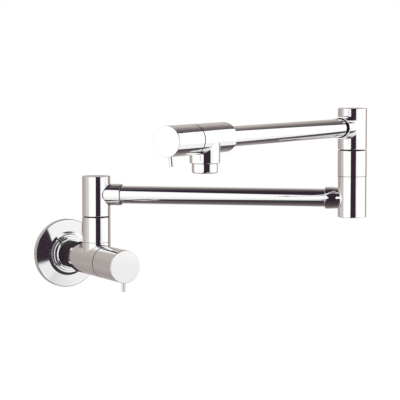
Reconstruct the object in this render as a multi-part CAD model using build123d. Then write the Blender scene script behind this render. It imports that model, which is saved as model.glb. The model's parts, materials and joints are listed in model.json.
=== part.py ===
from build123d import *
import os
from math import cos, radians, sin, tan

# A wall mounted pot filler: a quarter-turn valve on the wall, a riser with a swivel, an inner
# arm, an elbow swivel, an outer arm, and a second quarter-turn valve at the spout.
#
# Lengths are in millimetres and angles in degrees. The origin is the centre of the inlet on
# the wall. The wall is the plane y = 0, the faucet stands out from it along -Y, and +Z is up.
# Every piece is drawn in the pose in which the faucet is photographed: arms swung out and
# both valves closed.

# ---- where the axes are -------------------------------------------------------------------------
wall_to_riser = 82.0
inner_arm_length = 273.0        # riser axis to elbow axis
outer_arm_length = 289.0        # elbow axis to outlet axis
inner_arm_heading = -39.3       # about Z, from +X
outer_arm_heading = 209.5
spout_lever_lean = 7.6          # spout lever, from straight down

# ---- clearances ---------------------------------------------------------------------------------
running_fit = 0.05              # radial, between a shaft and its hole
slip_fit = 0.1                  # radial, between pieces pushed together by hand
cavity_fit = 0.2                # radial, between a cartridge and its cavity
loose_fit = 0.3                 # between pieces that pass without touching
face_gap = 0.05                 # between two faces that slide on each other
seal_fit = 0.02                 # radial, between a squeezed seal and the walls that hold it
seal_groove_ratio = 1.5         # width of a seal's groove over its depth

# ---- swivel columns: riser and elbow ------------------------------------------------------------
column_diameter = 30.0
elbow_base_diameter = 29.5
hub_cap_side = 19.6             # arm axis to the closed end of a hub
hub_joint_side = 22.9           # arm axis to the end of a hub that faces a sleeve
hub_cap_thickness = 5.6
swivel_gap = 1.1                # the dark line between a turning hub and its sleeve
sleeve_length = 26.8
sleeve_wall = 2.8
sleeve_lip = 3.0                # height of the inner lip that the spigot's collar clamps
rim_break = 0.4                 # small chamfer on the rims of hubs, sleeves and valves
seam_break = 0.2                # smaller chamfer where two fixed pieces meet

# ---- spigot that a hub turns on -----------------------------------------------------------------
spigot_diameter = 20.0
spigot_thread_length = 9.0
spigot_collar_width = 2.4       # how far the collar stands out of the spigot
spigot_collar_height = 2.4
spigot_break = 0.5
spigot_seal_section = 1.4       # depth of a seal's groove
spigot_land = 0.9               # metal between one groove and the next
spigot_nose = 1.8               # last groove to the top of the spigot
thrust_washer_height = 0.8
swivel_screw_diameter = 4.0
swivel_screw_tip_diameter = 2.4
swivel_screw_land = 0.95        # thrust washer to the edge of the screw's hole
swivel_groove_depth = 1.4

# ---- arms ---------------------------------------------------------------------------------------
tube_diameter = 18.6
tube_wall = 1.2
tube_depth = 10.6               # how far a tube enters its socket
socket_wall = 2.05
socket_reach = 27.6             # hub axis to the mouth of its socket
mouth_break = 0.7               # chamfer around a tube where it enters
waterway_diameter = 13.0

# ---- lower valve --------------------------------------------------------------------------------
valve_diameter = 34.0
valve_back = 36.0               # riser axis to the back face of the body
valve_front = 25.6              # riser axis to the line between body and handle
valve_nut_recess = 5.2          # how deep the cartridge nut sits in the body
valve_back_break = 0.8
stub_floor = 1.4                # wall between the cartridge cavity and the spigot's thread
valve_handle_length = 43.6
valve_handle_wall = 2.0
valve_lever_length = 9.0        # how far the lever stands out of the handle

# ---- spout valve --------------------------------------------------------------------------------
spout_diameter = 27.3
spout_back = 33.8               # outlet axis to the back face of the body
spout_front = 20.4              # outlet axis to the line between body and handle
outlet_drop = 21.9              # outer arm axis to the lower end of the outlet collar
spout_handle_length = 41.8
spout_handle_wall = 1.5
spout_lever_length = 8.35

# ---- handles ------------------------------------------------------------------------------------
handle_gap = 0.6
handle_end_thickness = 8.0
lever_inset = 4.0               # end face of the handle to the lever's axis
lever_diameter = 4.1
lever_shoulder_depth = 1.4      # how far the full diameter is let into the handle
lever_root_diameter = 3.0
lever_root_length = 6.5
handle_screw_diameter = 4.0
handle_screw_length = 3.8
grub_screw_key = 2.0            # across flats of the hexagon socket in a headless screw

# ---- ceramic cartridge, the same in both valves -------------------------------------------------
cartridge_length = 29.4         # seat to the underside of the cartridge nut
cartridge_diameter = 18.0
cartridge_thread_diameter = 19.6
cartridge_thread_length = 9.4
cartridge_nut_height = 4.0
cartridge_nut_across_flats = 20.5
cartridge_foot_gap = 1.0        # seat to the lower end of the brass housing
cartridge_seal_section = 1.2
cartridge_seal_margin = 3.0     # lower end of the thread to the middle of the seal
window_width = 11.0
window_height = 6.0
seat_bore = 11.6
seat_wall = 2.5                 # how far the narrower bore runs before the seat
seat_seal_height = 1.6
disc_diameter = 14.0
disc_thickness = 3.0
disc_port_half_angle = 38.0
disc_notch_half_angle = 40.0
disc_port_inner_radius = 1.8
disc_port_outer_radius = 5.7

# ---- spindle, insert and screws inside a handle -------------------------------------------------
spindle_diameter = 8.0
spindle_foot_height = 2.8
spindle_key_width = 3.6
spindle_key_depth = 1.6
spindle_seal_section = 0.95
spindle_seal_margin = 2.6       # shoulder of the housing to the middle of the first seal
spindle_seal_pitch = 4.0
spline_teeth = 18
spline_depth = 0.5
spline_length = 12.0
clip_stand = 0.5                # cartridge nut to the spring clip
clip_thickness = 0.8
clip_diameter = 12.4
clip_mouth = 5.5                # width of the clip's opening
clip_groove_depth = 0.6
adapter_stand = 1.5             # spring clip to the insert
adapter_length = 11.0
adapter_sleeve_wall = 2.4
adapter_rim_wall = 2.2
adapter_web = 1.6
adapter_ribs = 6
adapter_screw_diameter = 3.9
adapter_screw_depth = 8.6
adapter_screw_head_diameter = 10.4
adapter_screw_head_height = 2.4
adapter_screw_head_break = 0.5
adapter_screw_key = 2.5         # across flats of its hexagon socket
adapter_screw_key_depth = 1.6

# ---- outlet -------------------------------------------------------------------------------------
aerator_diameter = 23.4
aerator_exposed = 8.9
aerator_thread_diameter = 21.8
aerator_thread_length = 6.9
aerator_washer_height = 1.1
aerator_washer_bore = 15.0
aerator_bore = 19.6
aerator_lip_bore = 17.4
aerator_lip_height = 1.2
aerator_rim_break = 0.9
insert_wall = 1.6
honeycomb_cell = 2.1            # across flats of one cell
honeycomb_wall = 0.5
honeycomb_height = 3.5
sieve_holes = 12
sieve_hole_diameter = 1.5
sieve_circle_diameter = 11.3
sieve_thickness = 1.2

# ---- inlet neck and wall flange -----------------------------------------------------------------
neck_diameter = 28.8
neck_spigot_diameter = 22.0
neck_spigot_length = 13.8
neck_seal_section = 1.5
neck_seal_depth = 8.3           # back of the valve body to the middle of the seal
inlet_thread_diameter = 19.8    # mean diameter of a half inch pipe thread
inlet_thread_length = 13.0
flange_diameter = 75.0
flange_rim_height = 6.6
flange_rim_wall = 3.0
flange_rim_round = 0.8
flange_wall = 2.4
flange_slope = 12.5             # degrees that the face rises towards the boss
flange_fillet = 2.5
boss_diameter = 45.0
boss_height = 13.2              # wall to the front of the boss
boss_round = 1.0
collar_step_diameter = 38.6
collar_step_height = 1.7
collar_nose_diameter = 32.8
collar_nose_height = 2.8
collar_round = 0.6
gasket_width = 5.0


# ---- shapes used again and again ----------------------------------------------------------------
def rod(diameter, low, high):
    """A round bar on the Z axis from low to high."""
    lower_end = (Align.CENTER, Align.CENTER, Align.MIN)
    return Pos(0, 0, low) * Cylinder(diameter / 2, high - low, align=lower_end)


def broken_rod(diameter, low, high, low_break=0.0, high_break=0.0):
    """A round bar on the Z axis whose two rims may be chamfered."""
    bar = rod(diameter, low, high)
    if low_break > 0:
        bar = chamfer(bar.edges().filter_by(GeomType.CIRCLE).sort_by(Axis.Z)[0], low_break)
    if high_break > 0:
        bar = chamfer(bar.edges().filter_by(GeomType.CIRCLE).sort_by(Axis.Z)[-1], high_break)
    return bar


def pipe(outer, inner, low, high):
    """A round tube on the Z axis from low to high."""
    return rod(outer, low, high) - rod(inner, low, high)


def funnel(low_diameter, high_diameter, low, high):
    """A cone on the Z axis from one diameter to another."""
    lower_end = (Align.CENTER, Align.CENTER, Align.MIN)
    return Pos(0, 0, low) * Cone(low_diameter / 2, high_diameter / 2, high - low, align=lower_end)


def along_x(shape):
    """Lay a shape drawn on the Z axis along the X axis."""
    return Rot(0, 90, 0) * shape


def along_y(shape):
    """Lay a shape drawn on the Z axis along the Y axis."""
    return Rot(-90, 0, 0) * shape


def turned(points, rounds):
    """Turn a closed (radius, height) outline about Z; rounds holds one radius a corner."""
    outline = FilletPolyline(*points, radius=rounds, close=True)
    return revolve(Plane.XZ * make_face(outline), Axis.Z)


def groove(shaft, section, station):
    """The ring cut out of a shaft for a seal, centred at a height on the Z axis."""
    half_width = section * seal_groove_ratio / 2
    return pipe(shaft, shaft - 2 * section, station - half_width, station + half_width)


def seal(shaft, section, bore, station):
    """The squeezed rubber ring between a shaft's groove and the bore around it."""
    inner_wall = shaft / 2 - section + seal_fit
    outer_wall = bore / 2 - seal_fit
    ring = Torus((inner_wall + outer_wall) / 2, (outer_wall - inner_wall) / 2)
    return Pos(0, 0, station) * ring


def sector(inner_radius, outer_radius, half_angle, low, high):
    """A block between two radii and two angles either side of the X axis."""
    near = CenterArc((0, 0), inner_radius, -half_angle, 2 * half_angle)
    far = CenterArc((0, 0), outer_radius, -half_angle, 2 * half_angle)
    outline = Curve() + [near, far, Line(near @ 0, far @ 0), Line(near @ 1, far @ 1)]
    return Pos(0, 0, low) * extrude(make_face(outline), high - low)


def hexagon(across_flats, low, high):
    """A hexagonal bar on the Z axis from low to high."""
    outline = RegularPolygon(across_flats / 2, 6, major_radius=False)
    return Pos(0, 0, low) * extrude(outline, high - low)


def grub_screw(diameter, length):
    """A headless screw on the Z axis from zero up, with a hexagon socket in its end."""
    body = broken_rod(diameter, 0, length, 0, seam_break)
    return body - hexagon(grub_screw_key, length / 2, length)


# ---- frames: where each group of pieces is drawn ------------------------------------------------
up = Vector(0, 0, 1)


def heading(angle):
    """The level direction at an angle about Z."""
    return Vector(cos(radians(angle)), sin(radians(angle)), 0)


def upright(origin, direction):
    """A frame whose Z is up and whose X points along a level direction."""
    return Plane(origin=origin, x_dir=direction, z_dir=up).location


def level(origin, direction):
    """A frame whose Z points along a level direction and whose Y is up."""
    return Plane(origin=origin, x_dir=up.cross(direction), z_dir=direction).location


cavity_diameter = cartridge_diameter + 2 * cavity_fit
stub_height = cavity_diameter / 2 + stub_floor + spigot_thread_length
spigot_rise = sleeve_length + swivel_gap + hub_joint_side
inner_arm_height = stub_height + spigot_rise
elbow_face_height = inner_arm_height + hub_joint_side
outer_arm_height = elbow_face_height + spigot_rise

out_of_wall = Vector(0, -1, 0)
inner_heading = heading(inner_arm_heading)
outer_heading = heading(outer_arm_heading)
riser_foot = out_of_wall * wall_to_riser
elbow_foot = riser_foot + inner_heading * inner_arm_length
outlet_foot = elbow_foot + outer_heading * outer_arm_length

wall_frame = level(Vector(0, 0, 0), out_of_wall)
valve_frame = level(riser_foot, out_of_wall)
riser_frame = upright(riser_foot + up * stub_height, inner_heading)
inner_arm_frame = upright(riser_foot + up * inner_arm_height, inner_heading)
elbow_base_frame = upright(elbow_foot + up * inner_arm_height, -inner_heading)
elbow_frame = upright(elbow_foot + up * elbow_face_height, outer_heading)
outer_arm_frame = upright(elbow_foot + up * outer_arm_height, outer_heading)
outlet_frame = upright(outlet_foot + up * outer_arm_height, outer_heading)
spout_frame = level(outlet_foot + up * outer_arm_height, outer_heading)

valve_seat = valve_front - valve_nut_recess - cartridge_length
spout_seat = spout_front - cartridge_length
valve_cartridge_frame = valve_frame * Pos(0, 0, valve_seat)
spout_cartridge_frame = spout_frame * Pos(0, 0, spout_seat)
spout_turning_frame = spout_cartridge_frame * Rot(0, 0, spout_lever_lean)


# ---- wall flange and inlet: drawn with Z out of the wall ----------------------------------------
neck_length = wall_to_riser - valve_back
neck_spigot_bore = neck_spigot_diameter + 2 * running_fit


def escutcheon():
    """A hollow flange: straight rim, gently conical face and a round boss."""
    rise = tan(radians(flange_slope))
    outer = flange_diameter / 2
    boss = boss_diameter / 2
    inner_rim = outer - flange_rim_wall
    inner_boss = boss - flange_wall
    bore = neck_diameter / 2 + loose_fit
    under_rim = flange_rim_height - flange_wall
    points = [
        (outer, 0),
        (outer, flange_rim_height),
        (boss, flange_rim_height + (outer - boss) * rise),
        (boss, boss_height),
        (bore, boss_height),
        (bore, boss_height - flange_wall),
        (inner_boss, boss_height - flange_wall),
        (inner_boss, under_rim + (inner_rim - inner_boss) * rise),
        (inner_rim, under_rim),
        (inner_rim, 0),
    ]
    return turned(points, [0, flange_rim_round, flange_fillet, boss_round, 0, 0, 0, 0, 0, 0])


def wall_gasket():
    """The foam ring that seals the flange to the wall."""
    outer = flange_diameter - 2 * flange_rim_wall - 2 * slip_fit
    return pipe(outer, outer - 2 * gasket_width, 0, flange_rim_height - flange_wall)


def escutcheon_collar():
    """The stepped ring that screws up the neck and holds the flange to the wall."""
    bore = neck_diameter / 2 + running_fit
    step = boss_height + collar_step_height
    nose = step + collar_nose_height
    points = [
        (bore, boss_height),
        (collar_step_diameter / 2, boss_height),
        (collar_step_diameter / 2, step),
        (collar_nose_diameter / 2, step),
        (collar_nose_diameter / 2, nose),
        (bore, nose),
    ]
    return turned(points, [0, 0, collar_round, 0, collar_round, 0])


def inlet_neck():
    """The neck: pipe thread at the wall, spigot with a seal groove in the valve body."""
    end = neck_length + neck_spigot_length
    neck = rod(neck_diameter, 0, neck_length)
    neck += rod(neck_spigot_diameter, neck_length, end)
    neck -= rod(inlet_thread_diameter, 0, inlet_thread_length)
    neck -= rod(waterway_diameter, 0, end)
    return neck - groove(neck_spigot_diameter, neck_seal_section, neck_length + neck_seal_depth)


def neck_seal():
    """The rubber ring in the groove of the neck's spigot."""
    station = neck_length + neck_seal_depth
    return seal(neck_spigot_diameter, neck_seal_section, neck_spigot_bore, station)


# ---- valve bodies: drawn with Z along the valve towards its handle and Y up ---------------------
tube_bore = tube_diameter + 2 * running_fit
spigot_thread_bore = spigot_diameter + 2 * running_fit
aerator_seat_drop = outlet_drop - aerator_thread_length - aerator_washer_height


def valve_waterway(back, seat):
    """The bore from the back of a body to the seat of its cartridge, narrower at the seat."""
    return rod(waterway_diameter, back, seat - seat_wall) + rod(seat_bore, seat - seat_wall, seat)


def cartridge_cavity(seat, face):
    """The stepped hole that takes a cartridge, from its seat to the front face."""
    nut_face = seat + cartridge_length
    thread_bore = cartridge_thread_diameter + 2 * running_fit
    cavity = rod(cavity_diameter, seat, nut_face)
    cavity += rod(thread_bore, nut_face - cartridge_thread_length, nut_face)
    if face > nut_face:
        nut_across_corners = cartridge_nut_across_flats / cos(radians(30))
        cavity += rod(nut_across_corners + 2 * loose_fit, nut_face, face)
    return cavity


def valve_body():
    """The lower valve's body: inlet at the back, cartridge in front, stub for the riser."""
    body = broken_rod(valve_diameter, -valve_back, valve_front, valve_back_break, rim_break)
    body += along_y(broken_rod(column_diameter, 0, stub_height, 0, seam_break))
    body -= rod(neck_spigot_bore, -valve_back, -valve_back + neck_spigot_length)
    body -= valve_waterway(-valve_back, valve_seat)
    body -= cartridge_cavity(valve_seat, valve_front)
    body -= along_y(rod(waterway_diameter, 0, stub_height))
    return body - along_y(rod(spigot_thread_bore, stub_height - spigot_thread_length, stub_height))


def spout_body():
    """The spout valve's body: arm tube at the back, cartridge in front, outlet below."""
    body = broken_rod(spout_diameter, -spout_back, spout_front, rim_break, rim_break)
    body += along_y(broken_rod(spout_diameter, -outlet_drop, 0, seam_break, 0))
    body -= rod(tube_bore, -spout_back, -spout_back + tube_depth)
    mouth = tube_bore + 2 * mouth_break
    body -= funnel(mouth, tube_bore, -spout_back, -spout_back + mouth_break)
    body -= valve_waterway(-spout_back, spout_seat)
    body -= cartridge_cavity(spout_seat, spout_front)
    body -= along_y(rod(waterway_diameter, -outlet_drop, 0))
    thread_bore = aerator_thread_diameter + 2 * running_fit
    return body - along_y(rod(thread_bore, -outlet_drop, -aerator_seat_drop))


# ---- cartridge: drawn with Z from its seat towards the handle and Y up --------------------------
fixed_disc_low = seat_seal_height
moving_disc_low = fixed_disc_low + disc_thickness + face_gap
foot_low = moving_disc_low + disc_thickness + face_gap
foot_high = foot_low + spindle_foot_height
foot_diameter = disc_diameter - 2 * loose_fit
housing_shoulder = foot_high + loose_fit
housing_thread_low = cartridge_length - cartridge_thread_length
housing_seal_station = housing_thread_low - cartridge_seal_margin
first_spindle_seal = housing_shoulder + spindle_seal_margin
spindle_seal_stations = [first_spindle_seal, first_spindle_seal + spindle_seal_pitch]
spindle_bore = spindle_diameter + 2 * running_fit
nut_high = cartridge_length + cartridge_nut_height
clip_low = nut_high + clip_stand
adapter_low = clip_low + clip_thickness + adapter_stand
adapter_high = adapter_low + adapter_length
spindle_high = adapter_high - loose_fit
screw_head_high = adapter_high + adapter_screw_head_height


def cartridge_housing():
    """The brass housing: windows above and below, a thread, and a nut to turn it by."""
    housing = rod(cartridge_diameter, cartridge_foot_gap, cartridge_length)
    housing += rod(cartridge_thread_diameter, housing_thread_low, cartridge_length)
    housing += hexagon(cartridge_nut_across_flats, cartridge_length, nut_high)
    housing -= rod(disc_diameter + 2 * slip_fit, cartridge_foot_gap, housing_shoulder)
    housing -= rod(spindle_bore, housing_shoulder, nut_high)
    window = Box(window_width, cartridge_diameter, window_height)
    housing -= Pos(0, 0, moving_disc_low + window_height / 2) * window
    return housing - groove(cartridge_diameter, cartridge_seal_section, housing_seal_station)


def cartridge_seal():
    """The ring between the brass housing and the valve body."""
    return seal(cartridge_diameter, cartridge_seal_section, cavity_diameter, housing_seal_station)


def seat_seal():
    """The rubber ring that presses the fixed disc against the moving one."""
    return pipe(disc_diameter, seat_bore, 0, seat_seal_height)


def fixed_disc():
    """The ceramic disc that stands still, with a port above and one below."""
    high = fixed_disc_low + disc_thickness
    disc = rod(disc_diameter, fixed_disc_low, high)
    inner = disc_port_inner_radius
    port = sector(inner, disc_port_outer_radius, disc_port_half_angle, fixed_disc_low, high)
    return disc - Rot(0, 0, 90) * port - Rot(0, 0, 270) * port


def moving_disc():
    """The ceramic disc that turns: a notch each side, and a slot for the spindle's key."""
    high = moving_disc_low + disc_thickness
    disc = rod(disc_diameter, moving_disc_low, high)
    inner = disc_port_inner_radius
    notch = sector(inner, disc_diameter, disc_notch_half_angle, moving_disc_low, high)
    slot_depth = spindle_key_depth + face_gap
    slot = Box(spindle_key_width + 2 * running_fit, disc_diameter, slot_depth)
    return disc - notch - Rot(0, 0, 180) * notch - Pos(0, 0, high - slot_depth / 2) * slot


def spline_bar(low, high):
    """The toothed end of a spindle."""
    corners = []
    for corner in range(2 * spline_teeth):
        radius = spindle_diameter / 2 - spline_depth * (corner % 2)
        angle = radians(corner * 180 / spline_teeth)
        corners.append((radius * cos(angle), radius * sin(angle)))
    outline = make_face(Polyline(*corners, close=True))
    return Pos(0, 0, low) * extrude(outline, high - low)


def spindle():
    """The brass spindle: key for the moving disc, seal grooves, clip groove and spline."""
    spline_low = spindle_high - spline_length
    bar = rod(foot_diameter, foot_low, foot_high)
    bar += rod(spindle_diameter, foot_high, spline_low)
    bar += spline_bar(spline_low, spindle_high)
    key = Box(spindle_key_width, foot_diameter, spindle_key_depth)
    bar += Pos(0, 0, foot_low - spindle_key_depth / 2) * key
    for station in spindle_seal_stations:
        bar -= groove(spindle_diameter, spindle_seal_section, station)
    clip_floor = spindle_diameter - 2 * clip_groove_depth
    bar -= pipe(spindle_diameter, clip_floor, clip_low, clip_low + clip_thickness)
    hole = adapter_screw_diameter + 2 * running_fit
    return bar - rod(hole, adapter_high - adapter_screw_depth - loose_fit, spindle_high)


def spindle_seals():
    """The two small rubber rings on the spindle."""
    rings = []
    for station in spindle_seal_stations:
        rings.append(seal(spindle_diameter, spindle_seal_section, spindle_bore, station))
    return Compound(rings)


def spindle_clip():
    """The open spring clip that keeps the spindle from being pushed in."""
    floor = spindle_diameter - 2 * clip_groove_depth + 2 * running_fit
    ring = pipe(clip_diameter, floor, clip_low, clip_low + clip_thickness - face_gap)
    mouth = Box(clip_diameter, clip_mouth, 2 * clip_thickness)
    return ring - Pos(clip_diameter / 2, 0, clip_low) * mouth


def handle_adapter(shell_bore):
    """The moulded insert between spindle and handle: sleeve, ribs, web and rim."""
    rim = shell_bore - 2 * running_fit
    sleeve = spindle_bore + 2 * adapter_sleeve_wall
    insert = pipe(rim, rim - 2 * adapter_rim_wall, adapter_low, adapter_high)
    insert += pipe(sleeve, spindle_bore, adapter_low, adapter_high)
    insert += pipe(rim, spindle_bore, adapter_high - adapter_web, adapter_high)
    rib_inner = (spindle_bore + sleeve) / 4
    rib_outer = (rim - adapter_rim_wall) / 2
    rib = Box(rib_outer - rib_inner, adapter_web, adapter_length)
    rib_place = Pos((rib_inner + rib_outer) / 2, 0, (adapter_low + adapter_high) / 2)
    for count in range(adapter_ribs):
        insert += Rot(0, 0, 90 + (count + 0.5) * 360 / adapter_ribs) * rib_place * rib
    return insert - handle_screw_hole(sleeve / 2, rim)


def adapter_screw():
    """The screw in the end of the spindle that holds the insert on."""
    head = adapter_screw_head_diameter
    screw = rod(adapter_screw_diameter, adapter_high - adapter_screw_depth, adapter_high)
    screw += broken_rod(head, adapter_high, screw_head_high, 0, adapter_screw_head_break)
    key_low = screw_head_high - adapter_screw_key_depth
    return screw - hexagon(adapter_screw_key, key_low, screw_head_high)


# ---- handles: drawn in the cartridge frame, the lever pointing down along -Y --------------------
screw_station = (adapter_low + adapter_high - adapter_web) / 2


def downward(shape, station):
    """Point a shape drawn on the Z axis down from the valve axis at a station along it."""
    return Pos(0, 0, station) * Rot(90, 0, 0) * shape


def handle_screw_hole(low, high):
    """The hole for the small screw under a handle."""
    return downward(rod(handle_screw_diameter + 2 * running_fit, low, high), screw_station)


def handle(diameter, wall, low, length):
    """A straight round handle: a cup, open towards the valve, with a thick end."""
    high = low + length
    shell = broken_rod(diameter, low, high, rim_break, rim_break)
    shell -= rod(diameter - 2 * wall, low, high - handle_end_thickness)
    shoulder = diameter / 2 - lever_shoulder_depth
    root = shoulder - lever_root_length
    station = high - lever_inset
    shell -= downward(rod(lever_diameter + 2 * running_fit, shoulder, diameter), station)
    shell -= downward(rod(lever_root_diameter + 2 * running_fit, root, shoulder), station)
    return shell - handle_screw_hole(diameter / 2 - 2 * wall, diameter)


def lever(diameter, low, length, stand_out):
    """The pin that the handle is turned by, screwed into its thick end."""
    shoulder = diameter / 2 - lever_shoulder_depth
    root = shoulder - lever_root_length + loose_fit
    pin = broken_rod(lever_diameter, shoulder, diameter / 2 + stand_out, 0, rim_break)
    pin += rod(lever_root_diameter, root, shoulder)
    return downward(pin, low + length - lever_inset)


def handle_screw(diameter):
    """The small screw under a handle that locks it to its insert."""
    depth = diameter / 2 - loose_fit - handle_screw_length
    screw = grub_screw(handle_screw_diameter, handle_screw_length)
    return downward(Pos(0, 0, depth) * screw, screw_station)


# ---- swivels: drawn with Z up from the face that the sleeve stands on ---------------------------
collar_high = sleeve_length + spigot_collar_height
washer_high = collar_high + thrust_washer_height
spigot_collar_diameter = spigot_diameter + 2 * spigot_collar_width
hub_counterbore_diameter = spigot_collar_diameter + 2 * loose_fit
swivel_bore = spigot_diameter + 2 * running_fit
swivel_screw_hole = swivel_screw_diameter + 2 * running_fit
swivel_groove_width = swivel_screw_tip_diameter + 2 * loose_fit
swivel_screw_station = washer_high + swivel_screw_land + swivel_screw_hole / 2
spigot_seal_width = spigot_seal_section * seal_groove_ratio
first_spigot_seal = (
    swivel_screw_station + swivel_groove_width / 2 + spigot_land + spigot_seal_width / 2
)
second_spigot_seal = first_spigot_seal + spigot_seal_width + spigot_land
spigot_high = second_spigot_seal + spigot_seal_width / 2 + spigot_nose


def sleeve():
    """The plain bright sleeve between a fixed body and the hub that turns above it."""
    bar = broken_rod(column_diameter, 0, sleeve_length, seam_break, rim_break)
    bar -= rod(column_diameter - 2 * sleeve_wall, 0, sleeve_length - sleeve_lip)
    return bar - rod(spigot_thread_bore, 0, sleeve_length)


def spigot():
    """The brass spigot: thread, collar that clamps the sleeve, seal and screw grooves."""
    bar = broken_rod(spigot_diameter, -spigot_thread_length, spigot_high, spigot_break, spigot_break)
    bar += rod(spigot_collar_diameter, sleeve_length, collar_high)
    for station in (first_spigot_seal, second_spigot_seal):
        bar -= groove(spigot_diameter, spigot_seal_section, station)
    low = swivel_screw_station - swivel_groove_width / 2
    floor = spigot_diameter - 2 * swivel_groove_depth
    bar -= pipe(spigot_diameter, floor, low, low + swivel_groove_width)
    return bar - rod(waterway_diameter, -spigot_thread_length, spigot_high)


def spigot_seals():
    """The two rubber rings that seal a hub to its spigot."""
    rings = []
    for station in (first_spigot_seal, second_spigot_seal):
        rings.append(seal(spigot_diameter, spigot_seal_section, swivel_bore, station))
    return Compound(rings)


def thrust_washer():
    """The slippery ring that carries the weight of an arm."""
    return pipe(spigot_collar_diameter, swivel_bore, collar_high, washer_high - face_gap)


def swivel_screw():
    """The screw through a hub that runs in the spigot's groove and keeps the arm on."""
    low = spigot_diameter / 2 + loose_fit
    tip = spigot_diameter / 2 - swivel_groove_depth + loose_fit
    screw = Pos(0, 0, low) * grub_screw(swivel_screw_diameter, column_diameter / 2 - loose_fit - low)
    screw += rod(swivel_screw_tip_diameter, tip, low)
    return Pos(0, 0, swivel_screw_station) * Rot(0, -90, 0) * screw


# ---- hubs and arms: drawn with X along the arm and Z up from the arm's axis ---------------------
tube_seat = socket_reach - tube_depth
hub_chamber = hub_cap_side - hub_cap_thickness


def with_socket(hub):
    """Add the outside of the socket that takes an arm tube."""
    socket_diameter = tube_bore + 2 * socket_wall
    return hub + along_x(broken_rod(socket_diameter, 0, socket_reach, 0, rim_break))


def socket_bore():
    """The inside of a socket: a waterway, a seat for the tube and a flared mouth."""
    bore = rod(tube_bore, tube_seat, socket_reach)
    bore += rod(waterway_diameter, 0, tube_seat)
    mouth = tube_bore + 2 * mouth_break
    bore += funnel(tube_bore, mouth, socket_reach - mouth_break, socket_reach)
    return along_x(bore)


def swivel_hub():
    """A hub that turns on a spigot, with a socket for its arm."""
    spigot_top = spigot_high - spigot_rise
    screw_height = swivel_screw_station - spigot_rise
    counterbore_high = washer_high - spigot_rise
    hub = broken_rod(column_diameter, -hub_joint_side, hub_cap_side, rim_break, rim_break)
    hub = with_socket(hub)
    hub -= rod(swivel_bore, -hub_joint_side, spigot_top + loose_fit)
    hub -= rod(waterway_diameter, spigot_top, hub_chamber)
    hub -= socket_bore()
    hub -= rod(hub_counterbore_diameter, -hub_joint_side, counterbore_high)
    hole = rod(swivel_screw_hole, 0, column_diameter)
    return hub - Pos(0, 0, screw_height) * Rot(0, -90, 0) * hole


def elbow_base():
    """The hub at the outer end of the inner arm, which carries the elbow's spigot."""
    hub = broken_rod(elbow_base_diameter, -hub_cap_side, hub_joint_side, rim_break, seam_break)
    hub = with_socket(hub)
    hub -= rod(waterway_diameter, -hub_chamber, hub_joint_side)
    hub -= socket_bore()
    return hub - rod(spigot_thread_bore, hub_joint_side - spigot_thread_length, hub_joint_side)


def arm_tube(start, end):
    """An arm tube along X between two stations."""
    return along_x(pipe(tube_diameter, tube_diameter - 2 * tube_wall, start, end))


# ---- outlet: drawn with Z up from the axis of the outer arm -------------------------------------
aerator_top = -outlet_drop + aerator_thread_length
aerator_bottom = -outlet_drop - aerator_exposed
insert_low = aerator_bottom + aerator_lip_height
insert_high = aerator_top - slip_fit
insert_diameter = aerator_bore - 2 * slip_fit


def aerator_housing():
    """The bright ring that screws into the outlet and holds the flow insert."""
    ring = broken_rod(aerator_diameter, aerator_bottom, -outlet_drop, aerator_rim_break, seam_break)
    ring += rod(aerator_thread_diameter, -outlet_drop, aerator_top)
    ring -= rod(aerator_lip_bore, aerator_bottom, aerator_top)
    return ring - rod(aerator_bore, insert_low, aerator_top)


def aerator_washer():
    """The flat rubber ring above the aerator."""
    outer = aerator_thread_diameter - 2 * slip_fit
    return pipe(outer, aerator_washer_bore, aerator_top, -aerator_seat_drop)


def aerator_insert():
    """The flow insert: honeycomb below and a sieve above, joined by a thin wall."""
    honeycomb_high = insert_low + honeycomb_height
    sieve_low = insert_high - sieve_thickness
    field = insert_diameter / 2 - insert_wall
    insert = rod(insert_diameter, insert_low, insert_high)
    insert -= rod(2 * field, honeycomb_high, sieve_low)
    pitch = honeycomb_cell + honeycomb_wall
    corner = honeycomb_cell / 2 / cos(radians(30))
    cell = hexagon(honeycomb_cell, insert_low, honeycomb_high)
    rows = int(field / pitch) + 1
    for row in range(-rows, rows + 1):
        for column in range(-2 * rows, 2 * rows + 1):
            x = pitch * (column + row / 2)
            y = pitch * row * cos(radians(30))
            if (x * x + y * y) ** 0.5 + corner < field:
                insert -= Pos(x, y, 0) * Rot(0, 0, 30) * cell
    hole = Pos(sieve_circle_diameter / 2, 0, 0) * rod(sieve_hole_diameter, sieve_low, insert_high)
    for count in range(sieve_holes):
        insert -= Rot(0, 0, count * 360 / sieve_holes) * hole
    return insert


# ---- every piece in its place -------------------------------------------------------------------
inner_tube_end = inner_arm_length - tube_seat
outer_tube_end = outer_arm_length - spout_back + tube_depth

pieces = {
    "wall_gasket": wall_frame * wall_gasket(),
    "escutcheon": wall_frame * escutcheon(),
    "escutcheon_collar": wall_frame * escutcheon_collar(),
    "inlet_neck": wall_frame * inlet_neck(),
    "neck_seal": wall_frame * neck_seal(),
    "valve_body": valve_frame * valve_body(),
    "inner_arm_hub": inner_arm_frame * swivel_hub(),
    "inner_arm_tube": inner_arm_frame * arm_tube(tube_seat, inner_tube_end),
    "inner_arm_screw": riser_frame * swivel_screw(),
    "elbow_base": elbow_base_frame * elbow_base(),
    "outer_arm_hub": outer_arm_frame * swivel_hub(),
    "outer_arm_tube": outer_arm_frame * arm_tube(tube_seat, outer_tube_end),
    "outer_arm_screw": elbow_frame * swivel_screw(),
    "spout_body": spout_frame * spout_body(),
    "aerator_housing": outlet_frame * aerator_housing(),
    "aerator_washer": outlet_frame * aerator_washer(),
    "aerator_insert": outlet_frame * aerator_insert(),
}

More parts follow.
